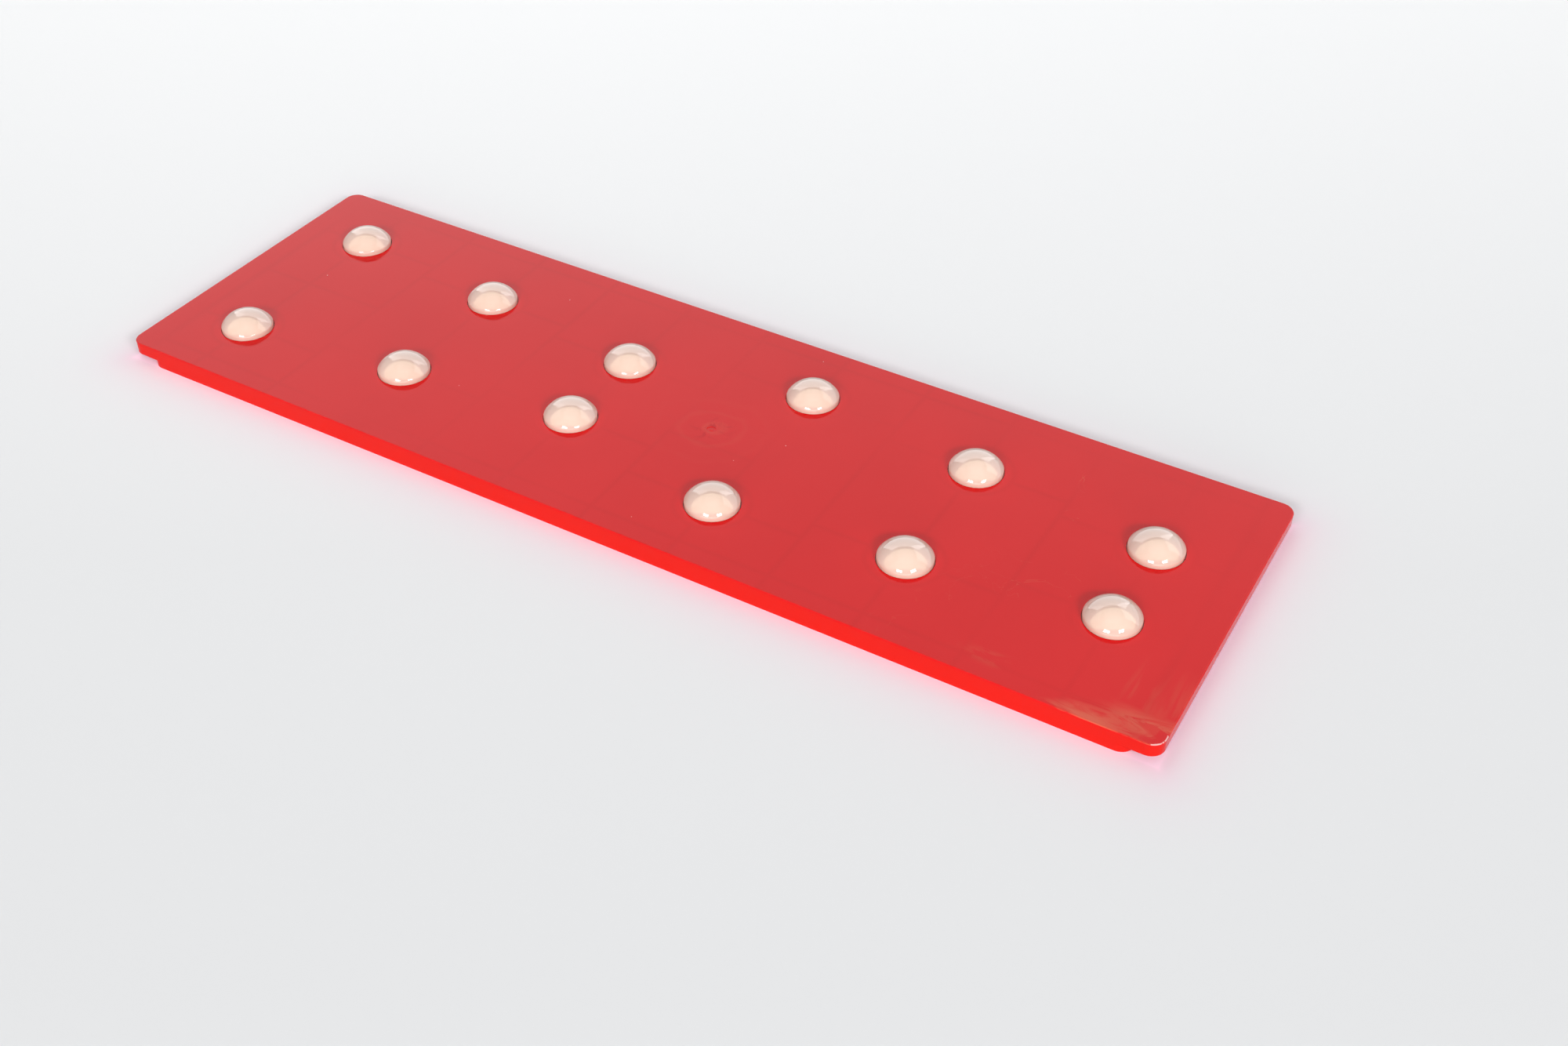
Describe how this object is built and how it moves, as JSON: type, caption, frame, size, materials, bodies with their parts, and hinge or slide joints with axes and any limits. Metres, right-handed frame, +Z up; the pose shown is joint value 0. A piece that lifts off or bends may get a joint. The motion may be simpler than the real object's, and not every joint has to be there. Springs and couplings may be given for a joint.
{
  "type": "domed stud board",
  "caption": "Long flat moulded board with a finger lip at each end and pairs of smooth round domes that draw together along it in repeated sets, each held from below by a ring.",
  "frame": {"origin": "centre of the underside, on the plane that the bottom rim stands on", "axes": "+X along the board's length, +Y across it towards the back row of domes, +Z up through the domes"},
  "size_m": [0.6, 0.188, 0.0214],
  "materials": {
    "board_plastic": "satin moulded red, faint sink marks over the ribs",
    "dome_plastic": "high gloss cream",
    "ring_plastic": "uncoloured, matt as moulded"
  },
  "bodies": {
    "root": {"board": "board_plastic", "dome_back_1": "dome_plastic", "dome_back_2": "dome_plastic", "dome_back_3": "dome_plastic", "dome_back_4": "dome_plastic", "dome_back_5": "dome_plastic", "dome_back_6": "dome_plastic", "dome_front_1": "dome_plastic", "dome_front_2": "dome_plastic", "dome_front_3": "dome_plastic", "dome_front_4": "dome_plastic", "dome_front_5": "dome_plastic", "dome_front_6": "dome_plastic", "retaining_ring_back_1": "ring_plastic", "retaining_ring_back_2": "ring_plastic", "retaining_ring_back_3": "ring_plastic", "retaining_ring_back_4": "ring_plastic", "retaining_ring_back_5": "ring_plastic", "retaining_ring_back_6": "ring_plastic", "retaining_ring_front_1": "ring_plastic", "retaining_ring_front_2": "ring_plastic", "retaining_ring_front_3": "ring_plastic", "retaining_ring_front_4": "ring_plastic", "retaining_ring_front_5": "ring_plastic", "retaining_ring_front_6": "ring_plastic"}
  },
  "joints": []
}
